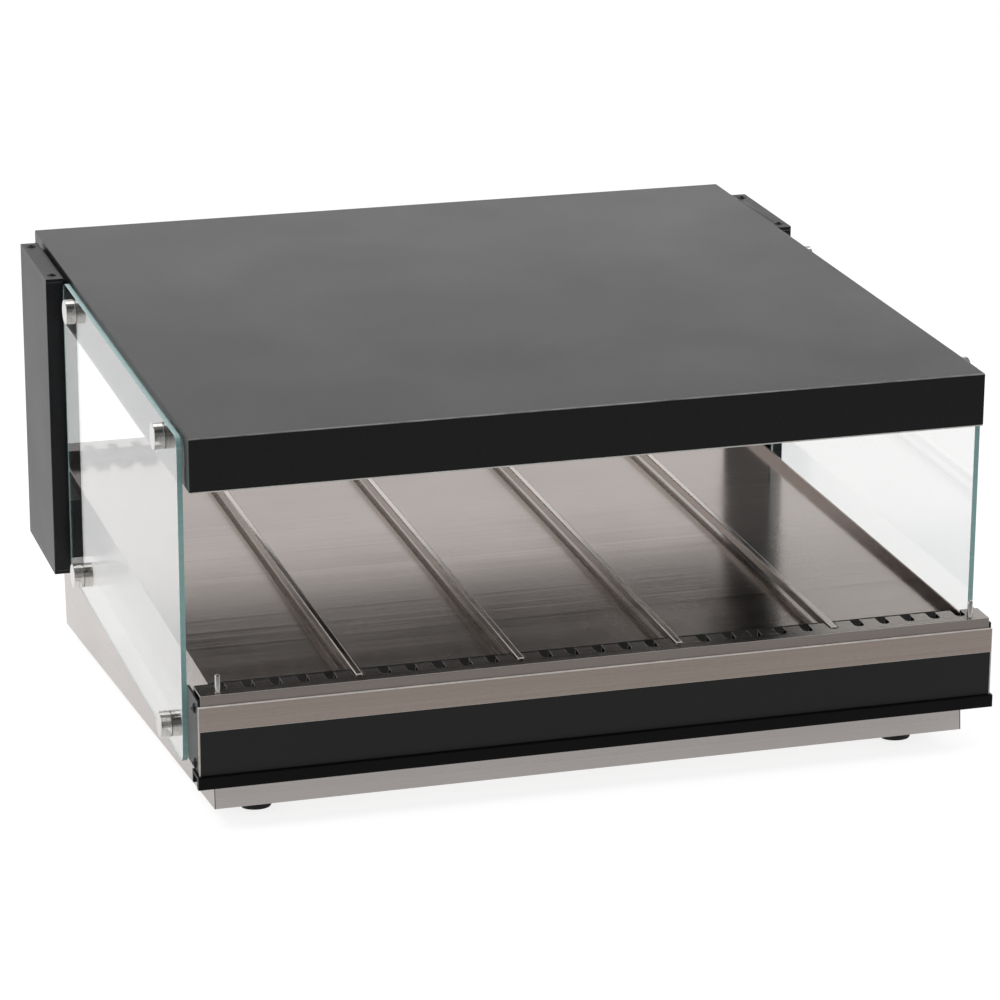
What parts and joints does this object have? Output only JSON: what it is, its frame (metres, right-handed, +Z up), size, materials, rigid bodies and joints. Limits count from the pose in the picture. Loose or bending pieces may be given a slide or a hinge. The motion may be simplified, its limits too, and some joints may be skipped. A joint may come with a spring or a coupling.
{
  "type": "heated display case",
  "caption": "Countertop heated display case with a sloping heated shelf, glass sides, a black heated canopy and lift-out lane dividers.",
  "frame": {"origin": "on the table under the middle of the case's overall outline, at the feet's undersides", "axes": "+Z up, -Y towards the customer's side where the shelf is lowest, +X to the right as seen from the front"},
  "size_m": [0.6444, 0.6422, 0.359],
  "materials": {
    "stainless": "brushed",
    "zinc_steel": "zinc plated",
    "terminal_plastic": "matte",
    "insulation": "mineral wool board",
    "painted_black": "satin powder coat",
    "painted_top": "satin powder coat",
    "black_screw": "black oxide",
    "polished_stainless": "polished",
    "rubber": "matte",
    "sill_black": "satin anodised",
    "glass": "clear, polished edges",
    "element_sheath": "oxidised steel sheath",
    "ceramic": "glazed",
    "lamp_lens": "translucent amber",
    "black_plastic": "satin",
    "label_black": "matte",
    "reflector": "bright",
    "heating_mat": "silicone heating mat",
    "lead_sheath": "matte",
    "thermostat_case": "zinc plated"
  },
  "bodies": {
    "case": {"base_bottom_plate": "stainless", "base_screws": "zinc_steel", "base_shell": "stainless", "base_terminal_block": "terminal_plastic", "canopy_insulation": "insulation", "canopy_liner": "stainless", "canopy_pads": "painted_black", "canopy_shell": "painted_top", "canopy_terminal_block": "terminal_plastic", "column_bolts": "zinc_steel", "column_bottom_caps": "painted_black", "column_brackets": "painted_black", "column_cap_screws": "black_screw", "column_left": "painted_black", "column_right": "painted_black", "column_top_caps": "painted_black", "end_plate_left": "painted_black", "end_plate_right": "painted_black", "end_plate_screws": "black_screw", "feet": "rubber", "foot_screws": "zinc_steel", "front_rail": "stainless", "front_sill": "sill_black", "front_trim": "stainless", "glass_left": "glass", "glass_right": "glass", "heater_element_front": "element_sheath", "heater_element_rear": "element_sheath", "heater_guard_front": "polished_stainless", "heater_guard_rear": "polished_stainless", "heater_holders": "ceramic", "indicator_lamps": "lamp_lens", "label_strip": "label_black", "power_inlet": "black_plastic", "rear_panel": "stainless", "rear_panel_screws": "zinc_steel", "rear_rail": "stainless", "reflector_front": "reflector", "reflector_rear": "reflector", "shelf_heater": "heating_mat", "shelf_insulation": "insulation", "shelf_pan": "stainless", "shelf_tray": "stainless", "standoff_caps_left": "polished_stainless", "standoff_caps_right": "polished_stainless", "standoff_spacers": "polished_stainless", "stop_pins": "polished_stainless", "supply_lead": "lead_sheath", "switch_housing": "black_plastic", "thermostat_canopy": "thermostat_case", "thermostat_shelf": "thermostat_case"},
    "knob_canopy_body": {"knob_canopy": "black_plastic"},
    "knob_shelf_body": {"knob_shelf": "black_plastic"},
    "rocker": {"switch_rocker": "black_plastic"},
    "divider_1_body": {"divider_1": "polished_stainless"},
    "divider_2_body": {"divider_2": "polished_stainless"},
    "divider_3_body": {"divider_3": "polished_stainless"},
    "divider_4_body": {"divider_4": "polished_stainless"}
  },
  "joints": [
    {"name": "turn_knob_canopy", "type": "hinge", "parent": "case", "child": "knob_canopy_body", "pos_m": [0.04, 0.30506, 0.058], "axis": [0, -1, 0], "range_deg": [0, 270]},
    {"name": "turn_knob_shelf", "type": "hinge", "parent": "case", "child": "knob_shelf_body", "pos_m": [-0.04, 0.30506, 0.058], "axis": [0, -1, 0], "range_deg": [0, 270]},
    {"name": "press_rocker", "type": "hinge", "parent": "case", "child": "rocker", "pos_m": [-0.12, 0.30456, 0.058], "axis": [-1, 0, 0], "range_deg": [0, 14]},
    {"name": "lift_divider_1", "type": "slide", "parent": "case", "child": "divider_1_body", "axis": [0, -0.108, 0.9942], "range_m": [0, 0.06]},
    {"name": "lift_divider_2", "type": "slide", "parent": "case", "child": "divider_2_body", "axis": [0, -0.108, 0.9942], "range_m": [0, 0.06]},
    {"name": "lift_divider_3", "type": "slide", "parent": "case", "child": "divider_3_body", "axis": [0, -0.108, 0.9942], "range_m": [0, 0.06]},
    {"name": "lift_divider_4", "type": "slide", "parent": "case", "child": "divider_4_body", "axis": [0, -0.108, 0.9942], "range_m": [0, 0.06]}
  ]
}
